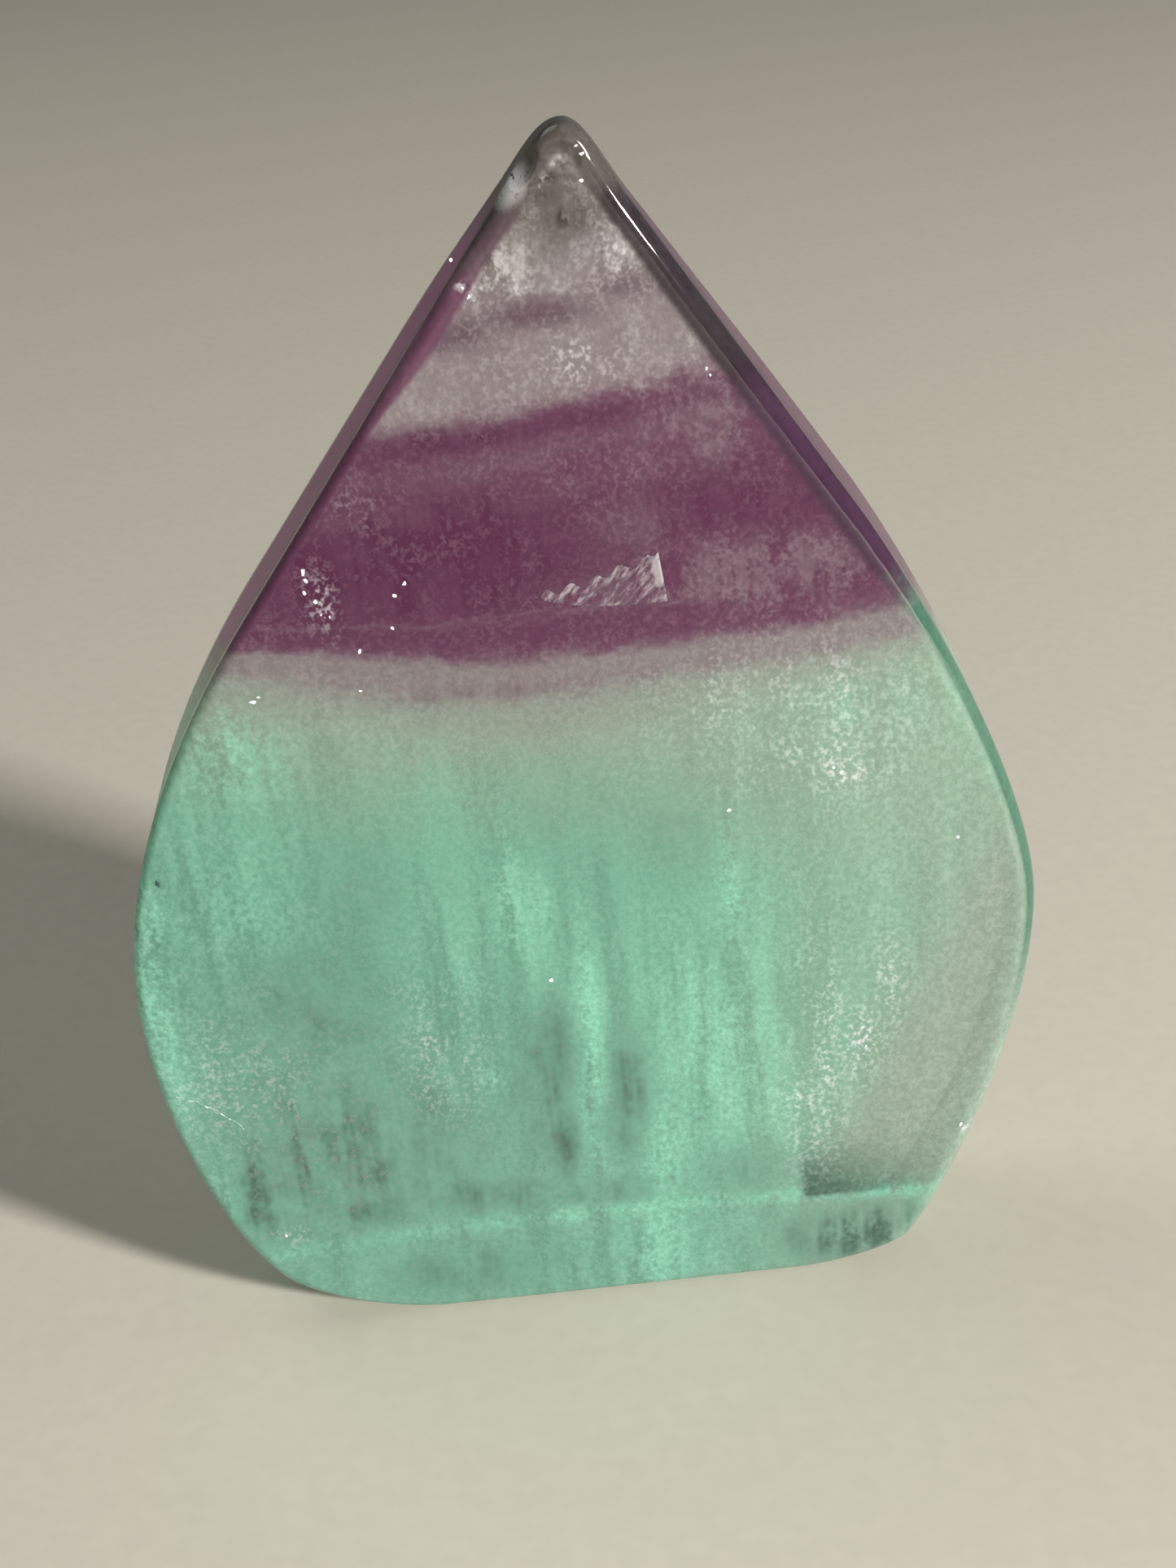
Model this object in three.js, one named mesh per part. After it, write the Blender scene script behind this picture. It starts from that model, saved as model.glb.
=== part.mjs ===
// A fluorite slab, cut and polished to a flame outline, that stands on its flat-cut foot.
// One stone is one closed solid. Millimetres, +Z up, the broad front face looks along -Y,
// and the origin is at the middle of the foot.
import * as THREE from 'three';

// Driving dimensions of the stone
const HALF_WIDTH = 30;
const HEIGHT = 82.6;
const FOOT_THICKNESS = 13.5;
const TAPER = 0.073;
const FACE_CROWN = 0.2;

// Hand-rubbed rounding of the edges: the front edge is rounder on its right than on its left.
const FRONT_EDGE_LEFT = 0.7;
const FRONT_EDGE_RIGHT = 1.2;
const FRONT_EDGE_BLEND = [-12, 16];
const BACK_EDGE = 0.7;

// Landmarks of the outline, seen from the front: [x, z]
const FOOT_LEFT = [-12.1, 0];
const FOOT_RIGHT = [12.4, 0];
const HEEL_RIGHT = [21.2, 2.5];
const BELLY_RIGHT = [HALF_WIDTH, 29.3];
const SHOULDER_RIGHT = [19.3, 57.8];
const NECK_RIGHT = [6.7, 78.1];
const TIP = [3.4, HEIGHT];
const NECK_LEFT = [-0.3, 79];
const SHOULDER_LEFT = [-18.8, 54.4];
const BELLY_LEFT = [-HALF_WIDTH, 26.2];
const HEEL_LEFT = [-23.9, 4.3];

// A slanting facet takes the back of the tip away: the thickness it leaves at the tip,
// how fast the stone thins above it to the right and upwards, and how softly it meets the back.
const TIP_THICKNESS = 3.1;
const FACET_LEAN_X = 0.125;
const FACET_LEAN_Z = 0.385;
const FACET_BLEND = 1;

// A chip knocked off the left front edge below the tip, hollow like the inside of a ball
const CHIP_CENTRE = new THREE.Vector3(-0.7, -8.05, 80.9);
const CHIP_RADIUS = 3;

// How many steps each stretch of the outline is drawn with
const FINE_STEPS = 10;
const FLANK_STEPS = 12;
const BELLY_STEPS = 16;

// Steps of a rounded edge, and the rings that carry a face from its edge to its middle
const EDGE_STEPS = 4;
const FACE_RINGS = [0.985, 0.95, 0.85, 0.65, 0.35];
const FACE_MIDDLE = new THREE.Vector2(0, 31);

const FLUORITE_GREEN = 0x8ac6a8;

function straight(from, to) {
  return new THREE.LineCurve(new THREE.Vector2(...from), new THREE.Vector2(...to));
}

function bend(...corners) {
  return new THREE.CubicBezierCurve(...corners.map((corner) => new THREE.Vector2(...corner)));
}

// The outline runs from the left end of the foot by the right side and the tip to the left side.
function outlinePoints() {
  const stretches = [
    [straight(FOOT_LEFT, FOOT_RIGHT), 1],
    [bend(FOOT_RIGHT, [15.8, 0], [20.2, 1.1], HEEL_RIGHT), FINE_STEPS],
    [bend(HEEL_RIGHT, [25.2, 8.3], [HALF_WIDTH, 20.8], BELLY_RIGHT), BELLY_STEPS],
    [bend(BELLY_RIGHT, [HALF_WIDTH, 37.7], [22.5, 52.7], SHOULDER_RIGHT), BELLY_STEPS],
    [straight(SHOULDER_RIGHT, NECK_RIGHT), FLANK_STEPS],
    [bend(NECK_RIGHT, [5.5, 80.1], [4.6, HEIGHT], TIP), FINE_STEPS],
    [bend(TIP, [2.1, HEIGHT], [1.2, 81.1], NECK_LEFT), FINE_STEPS],
    [straight(NECK_LEFT, SHOULDER_LEFT), FLANK_STEPS],
    [bend(SHOULDER_LEFT, [-24.6, 46.7], [-HALF_WIDTH, 36.7], BELLY_LEFT), BELLY_STEPS],
    [bend(BELLY_LEFT, [-HALF_WIDTH, 19], [-27.8, 9.4], HEEL_LEFT), BELLY_STEPS],
    [bend(HEEL_LEFT, [-21.9, 1.8], [-16.2, 0], FOOT_LEFT), FINE_STEPS],
  ];
  return stretches.flatMap(([curve, steps]) => curve.getSpacedPoints(steps).slice(0, -1));
}

// Outward direction of the outline at each of its points, square to the line between its neighbours
function outwardDirections(points) {
  return points.map((point, i) => {
    const before = points.at(i - 1);
    const after = points[(i + 1) % points.length];
    const along = after.clone().sub(before).normalize();
    return new THREE.Vector2(along.y, -along.x);
  });
}

// Half of the profile that is carried round the outline, from near a face's middle to the rim.
// Each ring is scaled towards the middle, or turned a part of the way round the edge.
const HALF_PROFILE = [
  ...FACE_RINGS.toReversed().map((scale) => ({ scale, turn: 0 })),
  ...Array.from({ length: EDGE_STEPS + 1 }, (_, i) => ({ scale: 1, turn: (i / EDGE_STEPS) * (Math.PI / 2) })),
];

function frontEdge(x) {
  const share = THREE.MathUtils.smoothstep(x, ...FRONT_EDGE_BLEND);
  return THREE.MathUtils.lerp(FRONT_EDGE_LEFT, FRONT_EDGE_RIGHT, share);
}

// The front face is upright.
function frontY(x, z, depth) {
  return depth - FOOT_THICKNESS / 2;
}

// The back face leans towards the front, and the facet behind the tip takes over where it is nearer.
function backY(x, z, depth) {
  const leaning = FOOT_THICKNESS - TAPER * z;
  const facet = TIP_THICKNESS - FACET_LEAN_X * (x - TIP[0]) - FACET_LEAN_Z * (z - TIP[1]);
  const share = THREE.MathUtils.clamp(0.5 + (facet - leaning) / (2 * FACET_BLEND), 0, 1);
  const softened = FACET_BLEND * share * (1 - share);
  return THREE.MathUtils.lerp(facet, leaning, share) - softened - depth - FOOT_THICKNESS / 2;
}

// One ring of the skin: the outline drawn in by the rounding, scaled towards the middle of the face,
// and sunk below the face by the crown and by the rounding.
function ring(points, outward, { scale, turn }, edgeAt, faceY) {
  return points.map((point, i) => {
    const radius = edgeAt(point.x);
    const inner = point.clone().addScaledVector(outward[i], -radius * (1 - Math.sin(turn)));
    const placed = FACE_MIDDLE.clone().lerp(inner, scale);
    const depth = FACE_CROWN * scale ** 3 + radius * (1 - Math.cos(turn));
    return new THREE.Vector3(placed.x, faceY(placed.x, placed.y, depth), placed.y);
  });
}

// What lies inside the ball of the chip is pushed out to the ball.
function breakChip(point) {
  const reach = point.clone().sub(CHIP_CENTRE);
  return reach.length() < CHIP_RADIUS ? reach.setLength(CHIP_RADIUS).add(CHIP_CENTRE) : point;
}

// Triangles of a closed skin: a fan at each face's middle, and a band between each two rings
function skinTriangles(ringCount, pointCount) {
  const frontMiddle = ringCount * pointCount;
  const backMiddle = frontMiddle + 1;
  const lastRing = (ringCount - 1) * pointCount;
  const triangles = [];
  for (let i = 0; i < pointCount; i += 1) {
    const next = (i + 1) % pointCount;
    triangles.push(frontMiddle, i, next);
    triangles.push(backMiddle, lastRing + next, lastRing + i);
    for (let j = 0; j < ringCount - 1; j += 1) {
      const near = j * pointCount;
      const far = near + pointCount;
      triangles.push(near + i, far + i, near + next);
      triangles.push(near + next, far + i, far + next);
    }
  }
  return triangles;
}

function stoneGeometry() {
  const points = outlinePoints();
  const outward = outwardDirections(points);
  const front = HALF_PROFILE.map((step) => ring(points, outward, step, frontEdge, frontY));
  const back = HALF_PROFILE.map((step) => ring(points, outward, step, () => BACK_EDGE, backY));
  const rings = [...front, ...back.toReversed()];
  const { x, y: z } = FACE_MIDDLE;
  const middles = [frontY, backY].map((faceY) => new THREE.Vector3(x, faceY(x, z, 0), z));
  const vertices = [...rings.flat(), ...middles].map(breakChip);
  const geometry = new THREE.BufferGeometry().setFromPoints(vertices);
  geometry.setIndex(skinTriangles(rings.length, points.length));
  geometry.computeBoundingBox();
  const middle = geometry.boundingBox.getCenter(new THREE.Vector3());
  geometry.translate(-middle.x, -middle.y, -geometry.boundingBox.min.z);
  geometry.computeVertexNormals();
  return geometry;
}

const stone = new THREE.Mesh(
  stoneGeometry(),
  new THREE.MeshStandardMaterial({ color: FLUORITE_GREEN, roughness: 0.15, metalness: 0 }),
);
stone.name = 'fluorite_flame';

const group = new THREE.Group();
group.add(stone);

export default group;
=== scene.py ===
"""A fluorite slab, cut and polished to a flame outline: its skin, growth zones and inner flaws.

Metres, +Z up, the broad front face looks along -Y and the stone stands on its flat foot.
"""

import math

import bpy
import numpy as np
from mathutils import Matrix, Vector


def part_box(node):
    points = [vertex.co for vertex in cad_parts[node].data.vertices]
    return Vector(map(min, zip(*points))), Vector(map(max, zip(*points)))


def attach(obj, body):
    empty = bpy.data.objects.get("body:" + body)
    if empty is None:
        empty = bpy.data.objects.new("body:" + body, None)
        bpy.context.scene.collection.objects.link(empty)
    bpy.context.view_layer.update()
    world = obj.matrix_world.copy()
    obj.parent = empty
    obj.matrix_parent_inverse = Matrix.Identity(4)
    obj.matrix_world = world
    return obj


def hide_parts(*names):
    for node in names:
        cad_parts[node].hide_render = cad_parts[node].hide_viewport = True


bl_info = {
    "name": "Polished Fluorite Flame",
    "version": (1, 0, 0),
    "blender": (4, 5, 0),
    "location": "3D View > Sidebar > Fluorite",
    "description": "Builds a banded fluorite slab with its veils, flakes and chips",
    "category": "Add Mesh",
}

STONE_NODE = "fluorite_flame"
BODY = "root"
MM = 0.001

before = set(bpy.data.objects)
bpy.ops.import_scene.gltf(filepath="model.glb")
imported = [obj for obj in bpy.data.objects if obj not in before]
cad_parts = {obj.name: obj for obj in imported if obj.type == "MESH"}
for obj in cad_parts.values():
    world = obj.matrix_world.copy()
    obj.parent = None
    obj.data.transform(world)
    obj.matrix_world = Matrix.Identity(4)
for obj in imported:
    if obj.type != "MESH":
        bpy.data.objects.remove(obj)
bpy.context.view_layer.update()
LOW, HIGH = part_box(STONE_NODE)

# Landmarks of the outline and the handles of its bends, [x, z] in millimetres, seen from the front.
# Each stretch is a straight line or a cubic bend, with the number of steps it is drawn with.
OUTLINE = (
    (((-12.1, 0), (12.4, 0)), 30),
    (((12.4, 0), (15.8, 0), (20.2, 1.1), (21.2, 2.5)), 28),
    (((21.2, 2.5), (25.2, 8.3), (30, 20.8), (30, 29.3)), 62),
    (((30, 29.3), (30, 37.7), (22.5, 52.7), (19.3, 57.8)), 62),
    (((19.3, 57.8), (6.7, 78.1)), 66),
    (((6.7, 78.1), (5.5, 80.1), (4.6, 82.6), (3.4, 82.6)), 52),
    (((3.4, 82.6), (2.1, 82.6), (1.2, 81.1), (-0.3, 79)), 52),
    (((-0.3, 79), (-18.8, 54.4)), 86),
    (((-18.8, 54.4), (-24.6, 46.7), (-30, 36.7), (-30, 26.2)), 62),
    (((-30, 26.2), (-30, 19), (-27.8, 9.4), (-23.9, 4.3)), 52),
    (((-23.9, 4.3), (-21.9, 1.8), (-16.2, 0), (-12.1, 0)), 32),
)
FACE_MIDDLE = np.array((0.0, 31.0))
TIP = np.array((3.4, 82.6))

# The facet behind the tip thins the stone by these shares of the way to the right and upwards.
FACET_LEAN = (0.125, 0.385)

# Rows of the finer skin: over the front face, over the back face, round an edge and down the rim
FRONT_ROWS, BACK_ROWS, EDGE_ROWS, RIM_ROWS = 78, 44, 9, 8

# How far the finer skin keeps inside the box of the CAD solid, in millimetres
SKIN_GAP = 0.002

# Chips broken off the skin: x and z of the middle, radius of the hollow, how deep it bites, all in
# millimetres, and which way the blow came from: "edge" half from the side, "face" from the front.
CHIPS = (
    (-0.55, 80.0, 3.0, 0.80, "edge"),
    (0.35, 80.15, 0.9, 0.34, "edge"),
    (-0.9, 78.6, 0.62, 0.30, "edge"),
    (-2.0, 77.2, 0.34, 0.14, "edge"),
    (-3.05, 76.0, 0.42, 0.18, "edge"),
    (-3.75, 75.15, 0.36, 0.15, "edge"),
    (-3.2, 74.0, 0.55, 0.14, "face"),
    (-2.65, 73.2, 0.34, 0.09, "face"),
    (5.0, 81.3, 0.30, 0.10, "edge"),
    (25.0, 11.3, 0.40, 0.14, "edge"),
)

# How far the growth zones dip for each millimetre towards the back
DIP = 0.33

# Soft ovals of the growth, seen from the front: x and z of the middle, half width, half height, all in
# millimetres, and how strong the oval is. In windows the milk thins out and the stone looks deep, and in
# the green zone their dark tone is painted shade seen through the clearer stone; light places are milkier,
# frosted places hold white flecks, and grey bands lie in the clear zone.
WINDOWS = (
    (-4.3, 17.5, 1.9, 6.5, 0.5), (-3.2, 13.5, 2, 4, 0.45), (-2.6, 21.5, 1.4, 4.6, 0.35),
    (2.1, 18, 1.4, 5.2, 0.45), (1.2, 14.5, 1.8, 3, 0.35), (-5.8, 9.3, 1.8, 2.4, 0.5),
    (0, 9.1, 4.5, 1.3, 0.35), (-24, 12, 3, 5.5, 0.58), (-20, 14.5, 7.5, 8, 0.52),
    (-17, 9.6, 3.6, 2.2, 0.42), (-12.5, 15, 6, 10, 0.3), (-10, 9.8, 4, 2.4, 0.35),
    (-10.5, 3.4, 6, 2.2, 0.4), (17.5, 3.2, 5, 2.4, 0.7), (9.5, 9.5, 3.4, 2.6, 0.25),
    (-19, 26, 7, 8, 0.3), (-14, 36, 6, 6, 0.22), (-5, 38, 17, 9, 0.18), (6.5, 37, 4, 6, 0.22),
    (-7.6, 57.6, 10.5, 3.7, 1.15), (12.2, 59.4, 4.8, 1.9, 0.85), (-4.8, 65.2, 5.6, 0.8, 0.8),
    (3.2, 65.6, 3, 0.9, 0.7), (-1.5, 71.8, 4.6, 0.9, 0.4), (2.2, 72.2, 2.7, 1, 0.45),
    (-4, 71.4, 2.4, 1.2, 0.7), (7.2, 73, 2.8, 0.8, 0.4), (-4, 48.5, 6.5, 0.35, 0.3),
    # The windows at (1.55, 80.8) and (2.6, 79.8) are the painted shade of the left and lower wall of the
    # dish on the tip.
    (3.1, 77.4, 0.8, 0.7, 0.9), (3.6, 77.6, 2.4, 1.6, 0.5), (1.55, 80.8, 0.5, 1.2, 0.8),
    (2.6, 79.8, 1.4, 0.4, 0.75), (2.4, 78.8, 1.4, 0.7, 0.6), (0.4, 78, 0.9, 0.9, 0.4),
    (1, 68.9, 6.5, 1.5, 0.2), (3.1, 77.7, 1, 0.9, 0.6),
)
LIGHT_PLACES = (
    (-4.3, 33.5, 1.4, 5.5, 0.8), (-2.7, 33, 1, 3.6, 0.65), (-8, 36, 3, 9, 0.3),
    (-0.1, 22, 0.8, 9.5, 0.75), (-0.9, 14, 0.7, 4.2, 0.7), (3.9, 10, 1.3, 8, 0.75),
    (2.9, 3, 1.5, 2.8, 0.9), (8, 20, 4.5, 12, 0.35), (-7.1, 19.6, 0.9, 0.9, 0.6),
    # The long light places at x -29 and -26.6 are painted light along the left edge of the green zone,
    # where light leaves the stone.
    (9.8, 33, 0.8, 4.2, 0.6), (-29, 30, 1.8, 18, 0.75), (-26.6, 10.5, 1.5, 6, 0.8),
    (2, 62.4, 1.3, 2, 0.7), (10.8, 64.2, 4.6, 2.4, 0.7), (5.2, 58.4, 3.4, 2, 0.6),
    (13.5, 55, 6, 2, 1.2), (17, 54.2, 2.6, 1.6, 1.2), (-2, 63.2, 4.2, 1.3, 0.25), (-21, 46, 3, 4, 0.4),
    (3.1, 80.9, 1, 0.65, 0.85), (6.4, 75.6, 1.6, 2.4, 0.8), (3.6, 54.9, 3.8, 1.3, 0.6),
    (15, 45, 8, 4, 0.2), (1.5, 69.2, 6, 1.4, 0.1), (-1.6, 75.2, 1.9, 1.6, 1.3),
    (1.5, 73.4, 4.4, 0.5, 0.6), (-22, 34, 4, 5, 0.45), (-11, 60.8, 4, 0.8, 0.4),
)
FROSTED_PLACES = (
    (17.4, 40.4, 1.9, 1.1, 0.9), (16, 41.6, 4.4, 2.8, 0.5), (14.5, 46, 7, 3.2, 0.36),
    (18.2, 19.5, 1.1, 2.4, 0.85), (15.3, 20, 1.3, 8, 0.6), (20, 24, 1, 3.4, 0.6),
    (14, 14.5, 1.3, 4.6, 0.55), (-24, 20.5, 4.6, 5.5, 0.36), (-19, 15, 4, 6, 0.14),
    (3, 69.2, 1.6, 1, 0.6), (5, 69, 1, 1.2, 0.5), (1, 80, 0.9, 0.8, 0.8), (0.4, 80.1, 0.6, 0.6, 1),
    (-3, 73.8, 0.8, 0.7, 0.7), (-1, 73.8, 1.8, 0.6, 0.5), (-22.5, 8, 1.2, 0.8, 0.6),
    (6.4, 75.2, 1.4, 2.2, 0.5), (-11.5, 61, 2.5, 2, 0.1), (-13.8, 55.6, 0.9, 1.8, 0.45),
    (-1.8, 77.6, 0.6, 1.1, 0.6), (-10, 22, 3, 5, 0.35),
)
GREY_BANDS = ((0.6, 72.2, 3.6, 0.95, 0.95), (5.8, 73.3, 2.5, 0.8, 0.75), (-3.6, 71.3, 2.0, 0.9, 0.75))

# Bright flakes that break the polish, and stand in for its glints as painted highlights: x and z of
# the middle and half the width, in millimetres
SURFACE_FLAKES_AND_GLINTS = (
    (-14.6, 57.6, 0.26), (-14.5, 57, 0.24), (-14.7, 56.2, 0.2), (-14.1, 55.6, 0.18), (-13.9, 54.7, 0.1),
    (-13.4, 54.5, 0.1), (-8.6, 56.25, 0.22), (-9.3, 55.5, 0.18), (-9.7, 53.4, 0.13),
    (-11.9, 52.05, 0.17), (-12.2, 49.4, 0.13), (-18.9, 49.3, 0.22), (-18.5, 49.6, 0.13),
    (-22.9, 7.9, 0.18), (10.1, 38.5, 0.17), (-2.45, 27, 0.19), (24.7, 11.8, 0.19), (24.8, 34.8, 0.14),
    (17.4, 40.4, 0.17), (16.9, 40.8, 0.12), (-3.1, 73.9, 0.2), (-2.8, 73.4, 0.17), (10.5, 67.8, 0.13),
    # The three flakes by the tip's right edge, at z 79.4 to 81.3, are painted glints beside its highlight.
    (10.7, 67.4, 0.11), (4.05, 81.3, 0.13), (4.35, 80.85, 0.18), (4.2, 79.4, 0.13), (18.3, 19.2, 0.13),
    (-3.6, 75.4, 0.14),
)

# The window in the lower right corner, painted with the shadow of the back edge seen through the clear
# stone, starts at a straight inner wall and a floor, at this x and z.
CORNER_SHADE_WINDOW = (13.5, 6.9)

# Groups of milky streaks: x and z of the middle, spread to the sides, reach up and down, and number
STREAK_GROUPS = (
    (18.4, 19.5, 1.6, 5.5, 9), (-3.2, 33.5, 1.5, 3.6, 6), (-0.7, 20.5, 1.2, 4.0, 5),
    (3.0, 8.0, 1.6, 3.0, 4), (9.4, 32.0, 0.7, 3.2, 3), (-9.0, 20.0, 2.5, 4.0, 4),
    (16.5, 40.2, 2.0, 1.0, 4), (-19.5, 22.5, 3.0, 1.8, 5), (20.4, 21.5, 0.8, 2.5, 3),
)
INNER_FLAKES = 110

# How strongly the torn structure of the growth breaks up the painted ovals, and the shares that its
# columns, clouds and grain have in it
TEAR = 2.3
TEAR_SHARES = (0.9, 0.7, 0.5)

# Deep tones of the skin, as linear colours: where the green thins out, partly painted shade seen
# through the clearer stone; the painted shade of the rounded front edge by side and height; and the
# rim by side and height, painted lighter on the left and darker on the right as painted light and shade
WHITE, BLACK = (1, 1, 1), (0, 0, 0)
THIN_GREEN_AND_SHADE = (0.06, 0.1, 0.075)
EDGE_SHADE_LEFT, EDGE_SHADE_LEFT_GREY = (0.18, 0.064, 0.132), (0.13, 0.07, 0.108)
EDGE_SHADE_RIGHT, EDGE_SHADE_RIGHT_BLACK = (0.07, 0.03, 0.068), (0.03, 0.018, 0.028)
EDGE_SHADE_TIP, EDGE_SHADE_GREEN = (0.12, 0.108, 0.1), (0.05, 0.17, 0.115)
RIM_LEFT_LIGHT, RIM_RIGHT_SHADE, RIM_TIP = (0.5, 0.14, 0.38), (0.19, 0.1, 0.16), (0.16, 0.14, 0.13)

# Fluorite: how much it bends light, and what it lets through, with the density of its absorption
FLUORITE_IOR = 1.434
CLEAR_TINT, CLEAR_DENSITY = (0.78, 0.86, 0.83, 1), 30.0

# Level of the growth at the top of its colour ramp, in millimetres
RAMP_TOP = 84.0


def srgb(red, green, blue):
    """A colour given in 0 to 255 as a picture shows it, as the linear colour that shaders take."""
    share = np.array((red, green, blue)) / 255
    linear = np.where(share <= 0.04045, share / 12.92, ((share + 0.055) / 1.055) ** 2.4)
    return tuple(float(part) for part in linear)


def size(name, description, millimetres):
    """A length property, given in millimetres."""
    return bpy.props.FloatProperty(
        name=name, description=description, default=millimetres * MM, min=0, unit="LENGTH")


class FlameSizes(bpy.types.PropertyGroup):
    """Sizes of the cut and of its rubbed edges"""

    foot_thickness: size("Foot thickness", "Thickness of the slab where it stands", 13.5)
    taper: bpy.props.FloatProperty(
        name="Taper", description="How much thinner the slab is for each unit of height", default=0.073)
    face_crown: size("Face crown", "How far a face swells from its edge to its middle", 0.2)
    front_edge_left: size("Front edge, left", "Rounding of the front edge on its left", 0.7)
    front_edge_right: size("Front edge, right", "Rounding of the front edge on its right", 1.2)
    back_edge: size("Back edge", "Rounding of the back edge", 0.7)
    tip_thickness: size("Tip thickness", "Thickness that the slanting facet leaves at the tip", 3.1)
    polish_waves: size("Polish waves", "How deep the hand polish undulates", 0.035)


def palette(name, description, red, green, blue):
    """A colour property, given as a picture shows it."""
    return bpy.props.FloatVectorProperty(
        name=name, description=description, subtype="COLOR", size=3, min=0, max=1,
        default=srgb(red, green, blue))


class FlameColours(bpy.types.PropertyGroup):
    """Colours of the growth zones and of the flaws in them"""

    mint: palette("Mint", "Milky green of the lower half", 142, 203, 180)
    mint_pale: palette("Pale mint", "Grey green where the green zone thins out", 168, 187, 171)
    lilac: palette("Lilac grey", "Zone between the green and the purple", 149, 141, 145)
    purple: palette("Purple", "The purple zone", 111, 62, 95)
    purple_deep: palette("Deep purple", "The darkest growth bands", 96, 36, 78)
    clear: palette("Clear", "Colourless zone above the purple", 151, 140, 145)
    smoke: palette("Smoke", "Smoky tip", 110, 101, 97)
    frost: palette("Frost", "Broken and bruised places", 236, 234, 240)
    flaw: palette("Flaw", "Inner feathers, veils and flakes", 240, 244, 245)
    floor: palette("Floor", "Pale studio floor", 208, 203, 190)


# Surfaces


def bend_points(handles, steps):
    """Points at even distances along a straight line or a cubic bend, its last end left out.

    A bend is the sum of its four handles weighed by (1-t)^3, 3t(1-t)^2, 3t^2(1-t) and t^3.
    """
    handles = np.array(handles, float)
    t = np.linspace(0, 1, 601)[:, None]
    if len(handles) == 2:
        path = handles[0] * (1 - t) + handles[1] * t
    else:
        weights = ((1 - t) ** 3, 3 * t * (1 - t) ** 2, 3 * t**2 * (1 - t), t**3)
        path = sum(weight * handle for weight, handle in zip(weights, handles))
    length = np.r_[0, np.cumsum(np.hypot(*np.diff(path, axis=0).T))]
    at = np.linspace(0, length[-1], steps, endpoint=False)
    return np.c_[np.interp(at, length, path[:, 0]), np.interp(at, length, path[:, 1])]


def smooth_step(low, high, value):
    """0 at low and beyond it, 1 at high and beyond it, and 3t^2 - 2t^3 between them."""
    t = np.clip((value - low) / (high - low), 0, 1)
    return t * t * (3 - 2 * t)


def push_mesh(name, points, quads, triangles=(), smooth=True):
    """Makes an object of a mesh with its points in millimetres."""
    mesh = bpy.data.meshes.new(name)
    faces = [tuple(face) for face in np.asarray(quads).tolist()]
    faces += [tuple(face) for face in np.asarray(triangles).tolist()]
    mesh.from_pydata((np.asarray(points) * MM).tolist(), [], faces)
    mesh.shade_smooth() if smooth else mesh.shade_flat()
    made = bpy.data.objects.new(name, mesh)
    bpy.context.scene.collection.objects.link(made)
    return made


def paint_attribute(made, name, values):
    """Stores one number for each point of the mesh."""
    layer = made.data.attributes.new(name, "FLOAT", "POINT")
    layer.data.foreach_set("value", np.asarray(values, np.float32).ravel())


def tube_faces(rows, columns):
    """Quads between the rows of a closed tube, seen from outside when each row turns to the left."""
    i = np.arange(columns)
    step = (i + 1) % columns
    start = (np.arange(rows - 1) * columns)[:, None]
    below = start + columns
    return np.stack([start + i, below + i, below + step, start + step], -1).reshape(-1, 4)


def back_depth(sizes, x, z):
    """Depth of the back behind the front face: foot thickness less the taper times the height,
    or the slanting facet behind the tip where that is nearer, softly joined over a millimetre."""
    leaning = sizes.foot_thickness / MM - sizes.taper * z
    facet = sizes.tip_thickness / MM - FACET_LEAN[0] * (x - TIP[0]) - FACET_LEAN[1] * (z - TIP[1])
    share = np.clip(0.5 + (facet - leaning) / 2, 0, 1)
    return facet * (1 - share) + leaning * share - share * (1 - share)


def polish_wave(x, z, seed):
    """A slow undulation between 0 and 1: six crossing sines of wavelengths from 9 to 26 mm."""
    rng = np.random.default_rng(seed)
    total = np.zeros_like(x)
    for length in np.linspace(9, 26, 6):
        angle, phase = rng.uniform(0, 2 * math.pi, 2)
        total += np.sin((x * math.cos(angle) + z * math.sin(angle)) * 2 * math.pi / length + phase)
    return total / 12 + 0.5


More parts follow.
